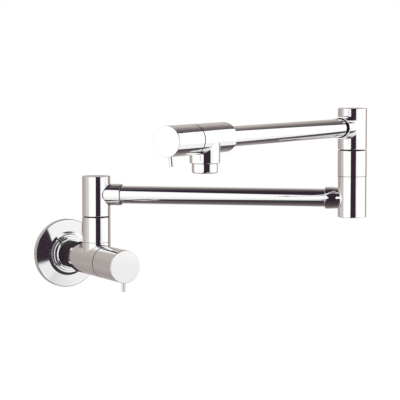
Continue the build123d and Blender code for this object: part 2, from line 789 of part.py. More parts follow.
for name, frame in (("riser", riser_frame), ("elbow", elbow_frame)):
    pieces[name + "_sleeve"] = frame * sleeve()
    pieces[name + "_spigot"] = frame * spigot()
    pieces[name + "_seals"] = frame * spigot_seals()
    pieces[name + "_thrust_washer"] = frame * thrust_washer()

for name, frame in (("valve", valve_cartridge_frame), ("spout", spout_cartridge_frame)):
    pieces[name + "_cartridge_housing"] = frame * cartridge_housing()
    pieces[name + "_cartridge_seal"] = frame * cartridge_seal()
    pieces[name + "_seat_seal"] = frame * seat_seal()
    pieces[name + "_fixed_disc"] = frame * fixed_disc()

turning_sets = (
    (
        "valve",
        valve_cartridge_frame,
        valve_front + handle_gap - valve_seat,
        valve_diameter,
        valve_handle_wall,
        valve_handle_length,
        valve_lever_length,
    ),
    (
        "spout",
        spout_turning_frame,
        spout_front + handle_gap - spout_seat,
        spout_diameter,
        spout_handle_wall,
        spout_handle_length,
        spout_lever_length,
    ),
)
for name, frame, low, diameter, wall, length, lever_length in turning_sets:
    pieces[name + "_moving_disc"] = frame * moving_disc()
    pieces[name + "_spindle"] = frame * spindle()
    pieces[name + "_spindle_seals"] = frame * spindle_seals()
    pieces[name + "_spindle_clip"] = frame * spindle_clip()
    pieces[name + "_handle_adapter"] = frame * handle_adapter(diameter - 2 * wall)
    pieces[name + "_adapter_screw"] = frame * adapter_screw()
    pieces[name + "_handle"] = frame * handle(diameter, wall, low, length)
    pieces[name + "_handle_screw"] = frame * handle_screw(diameter)
    pieces[name + "_lever"] = frame * lever(diameter, low, length, lever_length)

os.makedirs("parts", exist_ok=True)
for name, piece in pieces.items():
    export_step(piece, f"parts/{name}.step")
print(f"{len(pieces)} pieces written")
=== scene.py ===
# %% [markdown]
# # A wall mounted pot filler
# The finished faucet is polished chrome on a white ground. The frame that this script loads
# already has every piece in its place, with its joints. Chrome shows each flat of a coarse mesh,
# so every bright piece is made again here as a fine surface worked out from a few sizes.

import json
from math import radians

import bmesh
import bpy
import numpy as np
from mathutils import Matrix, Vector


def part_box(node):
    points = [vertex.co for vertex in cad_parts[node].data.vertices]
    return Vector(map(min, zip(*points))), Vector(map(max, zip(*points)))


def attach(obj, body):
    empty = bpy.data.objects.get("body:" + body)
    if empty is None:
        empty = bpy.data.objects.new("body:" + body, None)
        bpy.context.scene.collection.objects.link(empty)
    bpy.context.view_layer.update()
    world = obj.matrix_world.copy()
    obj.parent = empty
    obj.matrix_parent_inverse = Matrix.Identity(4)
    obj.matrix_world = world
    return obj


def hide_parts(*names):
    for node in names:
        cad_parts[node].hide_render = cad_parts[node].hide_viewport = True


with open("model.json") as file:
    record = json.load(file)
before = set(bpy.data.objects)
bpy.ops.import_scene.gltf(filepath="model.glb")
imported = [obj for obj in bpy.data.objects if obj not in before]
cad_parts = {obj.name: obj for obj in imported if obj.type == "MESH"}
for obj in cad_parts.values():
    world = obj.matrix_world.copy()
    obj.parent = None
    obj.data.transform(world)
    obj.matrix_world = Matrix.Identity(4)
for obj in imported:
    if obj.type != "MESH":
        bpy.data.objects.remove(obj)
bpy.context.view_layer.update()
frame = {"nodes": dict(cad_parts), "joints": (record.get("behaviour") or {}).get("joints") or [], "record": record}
bodies = frame["record"]["behaviour"]["bodies"]
body_of = {node: body for body, nodes in bodies.items() for node in nodes}
slot_of = {part["node"]: part["material_slot"] for part in frame["record"]["subparts"]}
joints = {joint["name"]: joint for joint in frame["joints"]}

# %% [markdown]
# ## Where the pieces stand
# A faucet like this is a chain: the riser stands in front of the wall, the elbow hangs on the
# inner arm, the outlet on the outer arm. The joints of the frame say where the riser, the elbow
# and the spout's axis are, so the headings of both arms follow from them and are not typed here.

# %% Axes of the faucet, from its joints
MM = 0.001                      # the frame is in metres, the sizes further down in millimetres
UP = np.array([0.0, 0.0, 1.0])
OUT_OF_WALL = np.array([0.0, -1.0, 0.0])


def joint_point(name):
    """The point that a joint turns about, in metres."""
    return np.array(joints[name]["pos_m"])


def level(vector):
    """A vector without its height."""
    return vector * (1, 1, 0)


def unit(vector):
    """The direction of a vector."""
    return vector / np.linalg.norm(vector)


riser = joint_point("riser_swivel")
elbow = joint_point("elbow_swivel")
valve_centre = joint_point("valve_handle_turn")
outlet = joint_point("spout_handle_turn")
inner_arm = unit(level(elbow - riser))
outer_arm = unit(level(outlet - elbow))
inner_arm_length = np.linalg.norm(level(elbow - riser)) / MM
outer_arm_length = np.linalg.norm(level(outlet - elbow)) / MM
print(f"inner arm {inner_arm_length:.1f} mm, outer arm {outer_arm_length:.1f} mm")

# %% [markdown]
# ## The sizes, in millimetres
# Machined pieces share their diameters: hubs and sleeves are turned from the same bar, and both
# arms are cut from the same tube. So each size is written once and its neighbours use it.

# %% Sizes that neighbouring pieces share
column_radius = 15.0            # swivel hubs and sleeves
hub_cap = 19.6                  # arm axis to the closed end of a hub
hub_foot = 22.9                 # arm axis to the end that faces a sleeve
sleeve_length = 26.8
stub_height = 19.6              # valve axis to the foot of the riser's sleeve
socket_radius = 11.4
socket_reach = 27.6             # column axis to the mouth of a socket
tube_radius = 9.3
tube_start = 17.0               # column axis to the end of the tube inside its socket
valve_radius = 17.0
valve_back = 36.0               # riser axis to the end at the wall, and to the end at the handle
valve_front = 25.6
spout_radius = 13.65
spout_back = 33.8               # outlet axis to the end at the arm, and to the end at the handle
spout_front = 20.4
outlet_drop = 21.9              # spout axis to the end above the aerator

waterway = 6.5                  # bore that the water runs through
spigot_bore = 10.05             # in hubs, sleeves and the stub
tube_bore = 9.35                # where a tube sits in a socket or in the spout's body
tube_bevel = 0.7                # and the lead-in of that bore
# Past where the polish stops, and on the bevels, faces take the dark plate: a painted shadow line at each gap and
# seam.
mouth_land = 10.3               # round a tube the polish of the end face stops here
lip_radius = 14.2               # and here on the end of a hub or a sleeve
rim_break = 0.4                 # unpolished bevel on both sides of a handle's gap
seam_break = 0.25               # and where a sleeve meets its neighbour
print("swivel hubs:", 2 * column_radius, "mm across,", hub_cap + hub_foot, "mm tall")

# %% [markdown]
# ## The turner's outline
# A lathe turns a bar by one outline. Real edges are never sharp: polishing rounds them, and that
# thin round edge catches the light. So an outline is a broken line whose corners have their own
# rounding. A holding point beside each arc keeps the flat next to it flat in smooth shading.


# %% An outline with rounded corners
HOLD = 0.3                      # millimetres from an arc to its holding point
HOLD_SHARE = 0.3                # but never more than this share of the flat
SAME_POINT = 1e-4               # points that are closer count as one


def outline(corners, steps=6):
    """Round the corners of a broken line; each row is (across, along, rounding).

    At a corner the line turns from direction a to direction b by the angle t. Its arc starts
    rounding * tan(t / 2) before the corner, and its points are
    start + rounding * (n * (1 - cos p) + a * sin p) for p from 0 to t, where n points across a
    to the inside of the turn.
    """
    table = np.asarray(corners, float)
    point, rounding = table[:, :2], table[1:-1, 2]
    side = np.diff(point, axis=0)
    length = np.linalg.norm(side, axis=1)
    direction = side / length[:, None]
    a, b = direction[:-1], direction[1:]
    cross = a[:, 0] * b[:, 1] - a[:, 1] * b[:, 0]
    turn = np.abs(np.arctan2(cross, (a * b).sum(1)))
    inward = np.sign(cross)[:, None] * np.stack([-a[:, 1], a[:, 0]], 1)
    reach = rounding * np.tan(turn / 2)
    room = length - np.append(reach, 0) - np.append(0, reach)
    if room.min() < -SAME_POINT:
        raise ValueError("a rounding is too large for its side")
    start = point[1:-1] - a * reach[:, None]
    p = (turn[:, None] * np.linspace(0, 1, steps))[..., None]
    bend = inward[:, None] * (1 - np.cos(p)) + a[:, None] * np.sin(p)
    arc = start[:, None] + rounding[:, None, None] * bend
    step = np.minimum(HOLD, HOLD_SHARE * room)
    before = start - a * step[:-1, None]
    after = arc[:, -1] + b * step[1:, None]
    line = np.concatenate([before[:, None], arc, after[:, None]], 1).reshape(-1, 2)
    line = np.vstack([point[:1], line, point[-1:]])
    apart = np.linalg.norm(np.diff(line, axis=0), axis=1) > SAME_POINT
    return line[np.append(True, apart)]


sleeve_edge = outline([
    (column_radius, 0, 0), (column_radius, sleeve_length, 0.5), (lip_radius, sleeve_length, 0),
])
print("a sleeve's edge has", len(sleeve_edge), "points")

# %% [markdown]
# ## Turned surfaces
# Carrying the outline round its axis gives the surface. It is a grid: one row for each point of
# the outline, one column for each step of the turn.


# %% Carry an outline round the Z axis
COLUMNS = 192                   # points round a full circle


def circle(count):
    """The angles of a full circle, without the last one that closes it."""
    return np.arange(count) * 2 * np.pi / count


def turned(line):
    """Points (r cos t, r sin t, h) for each outline point (r, h) and each angle t."""
    angle = circle(COLUMNS)
    radius, height = line[:, :1], line[:, 1:]
    return np.stack([radius * np.cos(angle), radius * np.sin(angle), height + 0 * angle], -1)


print("a turned sleeve edge is a grid of", turned(sleeve_edge).shape[:2])

# %% [markdown]
# ## A branch on a round body
# A tee is where this faucet's bodies show their quality: the socket grows out of the hub with a
# small soft fillet. Joining two meshes with a boolean leaves slivers that chrome would show. So
# the wall of the body is unrolled into a flat sheet, the branch's outline is drawn on the sheet,
# and the sheet is filled with lines that run from the outline to the edges of a rectangle.


# %% The branch or hole, worked out on the unrolled wall
SHEET_ROWS = 44                 # from a branch's curve to the edge of its sheet
SHEET_SIDE = 32                 # points up each side of the sheet
CROWDING = 1.5                  # above 1 the rows crowd towards the curve
TABLE_ANGLES = 7201             # in the table that finds u for a direction on the sheet
FILLET_ROWS, TUBE_ROWS = 9, 7
RIM_DEPTH = 0.1                 # the bright rim inside a hole


def branch(body, radius, station, half, facing, ending, bore, soft, hole=False):
    """A round branch, or a hole, in the wall of a round body that stands on the Z axis.

    The unrolled wall has s = body * angle across and z up. The branch's circle
    (y, z) = radius * (cos u, sin u) meets the wall at x = sqrt(body^2 - y^2), where
    s = body * asin(y / body). That curve, moved outwards by soft, is one edge of the wall's
    sheet; the rectangle |z| < half is the other, and rows between them run in straight lines
    on the sheet. The fillet is a quadratic Bezier curve from the sheet's edge over the meeting
    point to the branch. The ending and the bore, (distance from the body's axis, radius), are
    carried round the branch's own axis. All is then turned to facing degrees and lifted to the
    station. The polished sheets and the sheet of the bore come back apart.
    """
    edge = np.pi * body
    top = np.linspace(edge, -edge, COLUMNS + 1)[:-1]
    left = np.linspace(half, -half, SHEET_SIDE + 1)[:-1]
    across = np.concatenate([top, np.full(SHEET_SIDE, -edge), -top, np.full(SHEET_SIDE, edge)])
    above = np.concatenate([np.full(COLUMNS, half), left, np.full(COLUMNS, -half), -left])
    rim = np.stack([across, above], -1)
    table = np.linspace(0, 2 * np.pi, TABLE_ANGLES)
    table_s = body * np.arcsin(np.clip(radius / body * np.cos(table), -1, 1))
    table_angle = np.unwrap(np.arctan2(radius * np.sin(table), table_s))
    u = np.interp(np.arctan2(above, across) % (2 * np.pi), table_angle, table)
    y, z = radius * np.cos(u), radius * np.sin(u)
    x = np.sqrt(np.maximum(body**2 - y**2, 0))
    curve = np.stack([body * np.arcsin(np.clip(y / body, -1, 1)), z], -1)
    slope = np.stack([radius * np.cos(u), radius * np.sin(u) / np.maximum(x / body, 1e-9)], -1)
    start = curve + soft * slope / np.linalg.norm(slope, axis=1)[:, None]
    share = (np.linspace(0, 1, SHEET_ROWS) ** CROWDING)[:, None, None]
    sheet = start + share * (rim - start)
    angle = sheet[..., 0] / body
    wall = np.stack([body * np.cos(angle), body * np.sin(angle), sheet[..., 1]], -1)
    meet = np.stack([x, y, z], -1)
    away = meet + np.array([-soft if hole else soft, 0, 0])
    t = np.linspace(0, 1, FILLET_ROWS)[:, None, None]
    fillet = (1 - t) ** 2 * wall[0] + 2 * t * (1 - t) * meet + t**2 * away
    target = np.stack([np.full_like(y, ending[0, 0]), y, z], -1)
    t = np.linspace(0, 1, TUBE_ROWS)[1:, None, None]
    tube = away + t * (target - away)

    def carried(line):
        """An outline carried round the branch's axis."""
        reach, ring = line[:, 0, None], line[:, 1, None]
        return np.stack([reach + 0 * u, ring * np.cos(u), ring * np.sin(u)], -1)

    turn = radians(facing)
    spin = np.array([[np.cos(turn), np.sin(turn), 0], [-np.sin(turn), np.cos(turn), 0], [0, 0, 1]])
    sheets = [wall, np.concatenate([fillet, tube, carried(ending[1:])]), carried(bore)]
    sheets = [sheet @ spin + np.array([0, 0, station]) for sheet in sheets]
    return sheets[:2], sheets[2:]


def hole(body, radius, station, half, facing, mouth, inside, soft):
    """A hole: a bright rim that ends at the mouth, then a dull bore.

    The mouth is a distance from the body's axis, and inside lists the bore's further corners,
    (distance from the body's axis, radius).
    """
    rim = np.array([[mouth + RIM_DEPTH, radius], [mouth, radius]])
    # The bore takes the dark plate: painted shade inside the hole.
    bore = outline([(mouth, radius, 0)] + [(*corner, 0) for corner in inside])
    return branch(body, radius, station, half, facing, rim, bore, soft, hole=True)


# %% [markdown]
# ## From grids to a piece
# Each piece is a few grids whose edges meet. They are joined into one closed mesh: neighbouring
# points are merged, the faces turned outwards, and only real corners kept sharp.


# %% Frames to place a piece in
def standing(point, along):
    """Z up, X along the given level direction, at the given point."""
    return np.array(point), np.stack([along, np.cross(UP, along), UP])


def lying(point, along, turn=0.0):
    """Z along the given level direction, Y up, then turned about Z by some degrees."""
    side = np.cross(UP, along)
    c, s = np.cos(radians(turn)), np.sin(radians(turn))
    return np.array(point), np.stack([c * side + s * UP, c * UP - s * side, along])


# %% Join grids into one mesh
MERGE_DISTANCE = 2e-6           # metres
CORNER_ANGLE = 32               # degrees; an edge that turns more stays sharp


def quads(rows, columns):
    """The four corner numbers of every cell of a grid whose last column joins the first."""
    here = np.arange(rows * columns).reshape(rows, columns)
    beside = np.roll(here, -1, axis=1)
    return np.stack([here[:-1], beside[:-1], beside[1:], here[1:]], -1).reshape(-1, 4)


def closed_mesh(name, polished, plain, place):
    """One mesh from grids in millimetres, and how many open edges it has.

    Faces of the polished grids have the first material, those of the plain ones the second.
    """
    origin, axes = place
    sheets = polished + plain
    starts = np.cumsum([0] + [sheet.shape[0] * sheet.shape[1] for sheet in sheets[:-1]])
    points = np.concatenate([sheet.reshape(-1, 3) for sheet in sheets]) * MM @ axes + origin
    faces = np.concatenate([quads(*sheet.shape[:2]) + n for sheet, n in zip(sheets, starts)])
    mesh = bpy.data.meshes.new(name)
    mesh.from_pydata(points, [], faces)
    cells = [(sheet.shape[0] - 1) * sheet.shape[1] for sheet in sheets]
    which = np.repeat([0] * len(polished) + [1] * len(plain), cells)
    mesh.polygons.foreach_set("material_index", which.astype(np.int32))
    shell = bmesh.new()
    shell.from_mesh(mesh)
    bmesh.ops.remove_doubles(shell, verts=shell.verts, dist=MERGE_DISTANCE)
    bmesh.ops.recalc_face_normals(shell, faces=shell.faces)
    open_edges = sum(not edge.is_manifold for edge in shell.edges)
    shell.to_mesh(mesh)
    shell.free()
    mesh.shade_smooth()
    mesh.set_sharp_from_angle(angle=radians(CORNER_ANGLE))
    return mesh, open_edges


# %% Put a bright piece in place of a node
def new_object(name, data):
    """An object of the scene with the given data."""
    thing = bpy.data.objects.new(name, data)
    bpy.context.scene.collection.objects.link(thing)
    return thing


def box_error(mesh, node):
    """How far a mesh's box is from its node's box at most, in millimetres."""
    points = np.empty(len(mesh.vertices) * 3)
    mesh.vertices.foreach_get("co", points)
    points = points.reshape(-1, 3)
    return np.abs(np.stack([points.min(0), points.max(0)]) - np.array(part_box(node))).max() / MM


def make_piece(node, polished, plain, place, finish=None):
    """One bright piece in place of one node, from grids in millimetres.

    The polished grids get the finish, chrome unless another is given, and the plain ones the
    dark dull plate of bores, gaps and hidden faces, whose darkness is painted shade.
    """
    mesh, open_edges = closed_mesh("bright_" + node, polished, plain, place)
    mesh.materials.append(finish or chrome)
    mesh.materials.append(painted_shade_plate)
    piece = new_object("bright_" + node, mesh)
    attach(piece, body_of[node])
    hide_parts(node)
    off = box_error(mesh, node)
    print(f"{piece.name}: {len(mesh.polygons)} faces, {open_edges} open edges, box off by {off:.2f} mm")


# %% [markdown]
# ## Finishes
# Chrome plate is a mirror with hardly any colour of its own. Even good polishing leaves a very
# slight unevenness and a fine haze, and turned brass or moulded plastic has more of both. So all
# finishes are made in one way, with weak noises on object coordinates, and differ in numbers.


# %% A helper for node trees
def feed(tree, node, inputs):
    """Give a node its inputs, by name or number: an output is linked, a value is set."""
    for name, value in inputs.items():
        if isinstance(value, bpy.types.NodeSocket):
            tree.links.new(value, node.inputs[name])
        else:
            node.inputs[name].default_value = value
    return node


def add_node(tree, kind, inputs=None, **settings):
    """A new node of a kind, with its settings and its inputs."""
    node = tree.nodes.new("ShaderNode" + kind)
    for name, value in settings.items():
        setattr(node, name, value)
    return feed(tree, node, inputs or {})


# %% A finish that is slightly uneven
def noise(tree, where, scale, detail):
    """A noise of a given scale per metre."""
    inputs = {"Vector": where, "Scale": scale, "Detail": detail}
    return add_node(tree, "TexNoise", inputs).outputs["Fac"]


def make_finish(name, metal, dark, light, roughness, relief, scales, details=(3, 3, 2)):
    """A finish with three noises on the object's own coordinates.

    The first mixes a dark and a light colour, the second moves the roughness between two
    values, and the third raises the surface by the relief, in metres. The scales, per metre,
    and the details are those of the three noises.
    """
    material = bpy.data.materials.new(name)
    material.use_nodes = True
    tree = material.node_tree
    where = add_node(tree, "TexCoord").outputs["Object"]
    first, second, third = (noise(tree, where, *pair) for pair in zip(scales, details))
    tint = add_node(
        tree, "Mix", {"Factor": first, "A": (*dark, 1), "B": (*light, 1)}, data_type="RGBA"
    )
    least, most = roughness
    haze = add_node(tree, "MapRange", {"Value": second, "To Min": least, "To Max": most})
    waves = add_node(tree, "Bump", {"Height": third, "Distance": relief})
    feed(tree, tree.nodes["Principled BSDF"], {
        "Metallic": metal,
        "Base Color": tint.outputs["Result"],
        "Roughness": haze.outputs["Result"],
        "Normal": waves.outputs["Normal"],
    })
    return material


# %% Polished and satin chrome, and the dark plate of painted shade inside
def make_chrome(name, roughness):
    """Chrome plate: a mirror of nearly one grey, with a faint haze and waviness."""
    return make_finish(
        name, metal=1.0, dark=(0.85, 0.85, 0.85), light=(0.89, 0.89, 0.895), roughness=roughness,
        relief=1e-6, scales=(30, 60, 60), details=(3, 3, 1),
    )


chrome = make_chrome("polished_chrome", (0.03, 0.06))
satin_chrome = make_chrome("satin_chrome", (0.07, 0.10))

# Plate in bores and gaps, where no buffing wheel reaches: matt, uneven, dark with painted shade.
painted_shade_plate = make_finish(
    "painted_shade_plate", metal=0.7, dark=(0.020, 0.008, 0.020), light=(0.040, 0.022, 0.040),
    roughness=(0.5, 0.7), relief=1e-5, scales=(250, 600, 1800),
)
print("finishes:", chrome.name, satin_chrome.name, painted_shade_plate.name)

# %% [markdown]
# ## The wall flange, its collar and the neck
# The flange is a hollow pressed shell: straight rim, gently conical face, round boss. A stepped
# collar in front of it screws up the neck. The neck's bore has a pipe thread at the wall.

# %% Flange and collar, seen from the wall outwards
at_wall = lying((0, 0, 0), OUT_OF_WALL)
flange_radius = 37.5
flange_foot = 37.2              # the rim is bevelled at the wall
# Past these lips the faces take the dark plate, painted shade where flange, collar and neck meet.
flange_lip = 14.9               # the polish ends here at the hole
boss_face = 13.2                # wall to the front of the boss, where the collar sits
collar_foot = 18.9              # the polish starts here on the collar's back
collar_lip = 14.6
collar_face = 17.7

flange_face = outline([
    (flange_foot, 0, 0), (flange_radius, 0.3, 0.2), (flange_radius, 6.6, 0.8), (24.2, 9.55, 0.6),
    (21.3, 10.84, 0.1), (21.2, boss_face, 0.4), (flange_lip, boss_face, 0),
], steps=10)
flange_back = outline([
    (flange_lip, boss_face, 0), (14.7, 13, 0), (14.7, 10.8, 0), (20.1, 10.8, 0),
    (20.1, 7.39, 0), (34.5, 4.2, 0), (34.5, 0, 0), (flange_foot, 0, 0),
])
make_piece("escutcheon", [turned(flange_face)], [turned(flange_back)], at_wall, satin_chrome)

collar_line = outline([
    (collar_foot, boss_face, 0), (19.3, boss_face, 0.05), (18.8, 14.9, 0.22), (16.4, 14.9, 0.1),
    (16.0, collar_face, 0.3), (collar_lip, collar_face, 0),
])
collar_bore = outline([
    (collar_lip, collar_face, 0), (14.45, 17.55, 0), (14.45, boss_face, 0),
    (collar_foot, boss_face, 0),
])
make_piece("escutcheon_collar", [turned(collar_line)], [turned(collar_bore)], at_wall, satin_chrome)

# %% The neck and its pipe thread
thread_pitch = 1.814            # 14 turns to the inch
thread_depth = 1.16
thread_length = 13.0
thread_radius = 9.9             # half way up the ridges
thread_rows = 110
neck_seam = 12.0                # on the threaded end, where two of the grids meet
neck_radius = 14.4
neck_shoulder = 46.0            # wall to the shoulder that meets the valve
plug_radius = 11.0              # the part that enters the valve
plug_end = 59.8
seal_floor = 9.5                # radius of the groove for its seal
seal_start, seal_end = 53.175, 55.425


def pipe_thread():
    """Radius = mean + depth / 2 * cos(2 pi (z / pitch - angle / 2 pi)), fading out at both ends."""
    z = np.linspace(thread_length, 0, thread_rows)[:, None]
    angle = circle(COLUMNS)
    fade = np.clip(np.minimum(z, thread_length - z) / thread_pitch, 0, 1)
    ridge = np.cos(2 * np.pi * z / thread_pitch - angle)
    radius = thread_radius + thread_depth / 2 * fade * ridge
    return np.stack([radius * np.cos(angle), radius * np.sin(angle), z + 0 * angle], -1)


neck_line = outline([
    (neck_seam, 0, 0), (neck_radius, 0, 0.3), (neck_radius, neck_shoulder, 0.2),
    (plug_radius, neck_shoulder, 0),
])
neck_plug = outline([
    (plug_radius, neck_shoulder, 0), (plug_radius, seal_start, 0), (seal_floor, seal_start, 0),
    (seal_floor, seal_end, 0), (plug_radius, seal_end, 0), (plug_radius, plug_end, 0.3),
    (waterway, plug_end, 0), (waterway, thread_length, 0), (thread_radius, thread_length, 0),
])
neck_end = outline([(thread_radius, 0, 0), (neck_seam, 0, 0)])
neck_sheets = [turned(neck_line), turned(neck_plug), pipe_thread(), turned(neck_end)]
# The whole neck takes the dark plate: painted shade for the dark band between flange and valve.
make_piece("inlet_neck", [], neck_sheets, at_wall)

# %% [markdown]
# ## The lower valve body
# A round body lies along the water's path, and a short stub for the riser stands on it. Behind
# is the bore for the neck, in front the stepped cavity of the cartridge. The spout's body has
# the same cavity, because both valves take the same cartridge.

# %% Valve body with its stub
at_valve = lying(valve_centre, OUT_OF_WALL)
stub_half = 17.5                # half the length of wall that the stub grows from
# Past the stub's lip the end takes the dark plate, painted shade in the seam under the sleeve.
stub_lip = 14.0                 # the polish ends here on the stub's end
stub_floor = 10.6               # valve axis to the end of the spigot's bore
nut_radius, nut_floor = 12.14, 20.4
neck_bore, neck_floor = 11.05, -22.2
housing_radius, cavity_radius, seat_radius = 9.85, 9.2, 5.8
housing_step, cavity_floor, seat_floor = 11.0, -9.0, -11.5
cartridge_cavity = [
    (housing_radius, housing_step, 0), (cavity_radius, housing_step, 0),
    (cavity_radius, cavity_floor, 0), (seat_radius, cavity_floor, 0),
    (seat_radius, seat_floor, 0), (waterway, seat_floor, 0),
]

stub_end = outline([
    (18.6, column_radius, 0), (stub_height, column_radius, 0.3), (stub_height, stub_lip, 0),
])
stub_bore = outline([
    (stub_height, stub_lip, 0), (stub_height, spigot_bore, 0), (stub_floor, spigot_bore, 0),
    (stub_floor, 0, 0),
])
stub, stub_inside = branch(
    valve_radius, column_radius, 0, stub_half, 90, stub_end, stub_bore, soft=0.9
)
valve_face = np.array([[valve_radius, stub_half], [valve_radius, valve_front - rim_break]])
valve_rear = np.array([[valve_radius, rim_break - valve_back], [valve_radius, -stub_half]])
valve_bore = outline([
    (valve_radius, valve_front - rim_break, 0), (valve_radius - rim_break, valve_front, 0),
    (nut_radius, valve_front, 0), (nut_radius, nut_floor, 0), (housing_radius, nut_floor, 0),
    *cartridge_cavity,
    (waterway, neck_floor, 0), (neck_bore, neck_floor, 0), (neck_bore, -valve_back, 0),
    (valve_radius - rim_break, -valve_back, 0), (valve_radius, rim_break - valve_back, 0),
])
valve_outside = [turned(valve_face), turned(valve_rear)] + stub
make_piece("valve_body", valve_outside, [turned(valve_bore)] + stub_inside, at_valve)

# %% [markdown]
# ## Sleeves
# Between a fixed body and the hub that turns above it stands a plain bright sleeve. The spigot
# inside clamps it by its inner lip.

# %% Riser and elbow sleeves
sleeve_lip = 23.8               # foot to the underside of the inner lip
sleeve_inside = 12.2
sleeve_line = outline([
    (column_radius, seam_break, 0), (column_radius, sleeve_length, 0.5),
    (lip_radius, sleeve_length, 0),
])
sleeve_bore = outline([
    (lip_radius, sleeve_length, 0), (spigot_bore, sleeve_length, 0), (spigot_bore, sleeve_lip, 0),
    (sleeve_inside, sleeve_lip, 0), (sleeve_inside, 0, 0), (column_radius - seam_break, 0, 0),
    (column_radius, seam_break, 0),
])
elbow_base_point = level(elbow) + UP * riser[2]
riser_foot = valve_centre + UP * stub_height * MM
elbow_foot = elbow_base_point + UP * hub_foot * MM
sleeves = (("riser_sleeve", riser_foot, inner_arm), ("elbow_sleeve", elbow_foot, outer_arm))
for name, foot, along in sleeves:
    make_piece(name, [turned(sleeve_line)], [turned(sleeve_bore)], standing(foot, along))

# %% [markdown]
# ## Hubs with their sockets
# Both turning hubs are the same casting: closed on top, bored from below for the spigot, with a
# socket for the arm and a small screw at the back. The elbow's base is the same idea upside down;
# hand buffing has drawn its socket in a little next to the column.

# %% The sockets
socket_half = 14.0              # half the length of wall that a socket grows from
socket_step = 8.0               # the waterway opens into a socket from here
socket_soft = 1.0               # width of the fillet round a socket


def socket_rim(start):
    """The outside of a socket from a given distance to its mouth."""
    return outline([
        (start, socket_radius, 0), (socket_reach, socket_radius, 0.45),
        (socket_reach, mouth_land, 0),
    ])


socket_end = socket_rim(24)
socket_bore = outline([
    (socket_reach, mouth_land, 0), (socket_reach, tube_bore + tube_bevel, 0),
    (socket_reach - tube_bevel, tube_bore, 0), (tube_start, tube_bore, 0),
    (tube_start, waterway, 0), (socket_step, waterway, 0), (socket_step, 0, 0),
])

waist = 0.5                     # how far the elbow base's socket is drawn in
waist_start, waist_end = 16.5, 25.0
reach = np.linspace(waist_start, waist_end, 10)
drawn_in = waist * ((waist_end - reach) / (waist_end - waist_start)) ** 2
waisted_end = np.concatenate([
    np.stack([reach, socket_radius - drawn_in], 1), socket_rim(25.5),
])
print("a socket's outside has", len(socket_end), "points, the waisted one", len(waisted_end))

# %% The holes of the small screws
screw_radius = 2.05
screw_half = 3.2                # half the length of wall that the hole lies in
screw_soft = 0.12


def screw_hole(body, station, facing, mouth, floor):
    """A screw's hole in the wall of a round body."""
    inside = [(floor, screw_radius), (floor, 0)]
    return hole(body, screw_radius, station, screw_half, facing, mouth, inside, screw_soft)


# %% Swivel hubs
hub_screw = -17.8               # arm axis to the screw in the back
hub_screw_mouth, hub_screw_floor = 14.2, 10.2
hub_roof = 14.0                 # the waterway ends here, and the spigot's bore below
hub_floor = -8.2
washer_radius, washer_floor = 12.7, -20.8


def swivel_hub():
    """Cap and socket above, screw hole in the back below, spigot bore from underneath."""
    cap = outline([
        (column_radius, socket_half, 0), (column_radius, hub_cap, 0.5), (0, hub_cap, 0),
    ])
    between = np.array([[column_radius, -socket_half], [column_radius, hub_screw + screw_half]])
    foot = outline([
        (column_radius, hub_screw - screw_half, 0), (column_radius, -hub_foot, 0.5),
        (lip_radius, -hub_foot, 0),
    ])
    bore = outline([
        (lip_radius, -hub_foot, 0), (washer_radius, -hub_foot, 0),
        (washer_radius, washer_floor, 0), (spigot_bore, washer_floor, 0),
        (spigot_bore, hub_floor, 0), (waterway, hub_floor, 0), (waterway, hub_roof, 0),
        (0, hub_roof, 0),
    ])
    socket = branch(
        column_radius, socket_radius, 0, socket_half, 0, socket_end, socket_bore, socket_soft
    )
    screw = screw_hole(column_radius, hub_screw, 180, hub_screw_mouth, hub_screw_floor)
    polished = [turned(cap), turned(between), turned(foot)] + socket[0] + screw[0]
    return polished, [turned(bore)] + socket[1] + screw[1]


# %% The elbow's base
elbow_base_radius = 14.75
elbow_seat = 13.9               # the elbow's spigot stands here
elbow_floor = -14.0


def elbow_base():
    """Closed below, open above for the elbow's spigot, with a socket for the inner arm."""
    cap = outline([
        (elbow_base_radius, -socket_half, 0), (elbow_base_radius, -hub_cap, 0.5),
        (0, -hub_cap, 0),
    ])
    head = np.array([[elbow_base_radius, socket_half], [elbow_base_radius, hub_foot - seam_break]])
    bore = outline([
        (elbow_base_radius, hub_foot - seam_break, 0),
        (elbow_base_radius - seam_break, hub_foot, 0), (spigot_bore, hub_foot, 0),
        (spigot_bore, elbow_seat, 0), (waterway, elbow_seat, 0), (waterway, elbow_floor, 0),
        (0, elbow_floor, 0),
    ])
    socket = branch(
        elbow_base_radius, socket_radius - waist, 0, socket_half, 0, waisted_end, socket_bore,
        socket_soft,
    )
    return [turned(cap), turned(head)] + socket[0], [turned(bore)] + socket[1]


make_piece("inner_arm_hub", *swivel_hub(), standing(riser, inner_arm))
make_piece("elbow_base", *elbow_base(), standing(elbow_base_point, -inner_arm))
make_piece("outer_arm_hub", *swivel_hub(), standing(elbow, outer_arm))

# %% [markdown]
# ## Arm tubes
# Straight drawn tube, cut square, its ends inside the sockets.

# %% Both arm tubes
tube_wall = 1.2
tube_edge = 0.15


def arm_tube(end):
    """A tube from inside its first socket to its end, both counted from the column's axis."""
    inner = tube_radius - tube_wall
    line = outline([
        (inner, tube_start, 0), (tube_radius, tube_start, tube_edge),
        (tube_radius, end, tube_edge), (inner, end, 0),
    ])
    bore = outline([(inner, end, 0), (inner, tube_start, 0)])
    return [turned(line)], [turned(bore)]


inner_end = inner_arm_length - tube_start
outer_end = outer_arm_length - spout_back + socket_reach - tube_start
make_piece("inner_arm_tube", *arm_tube(inner_end), lying(riser, inner_arm))
make_piece("outer_arm_tube", *arm_tube(outer_end), lying(elbow, outer_arm))

# %% [markdown]
# ## The spout valve and the aerator
# The spout's body takes the arm tube at its back and points down at the outlet, where a collar
# of the same diameter grows out of it. The aerator's ring screws into the collar.

# %% Spout body
at_spout = lying(outlet, outer_arm)
outlet_half = 16.0              # half the length of wall that the collar grows from
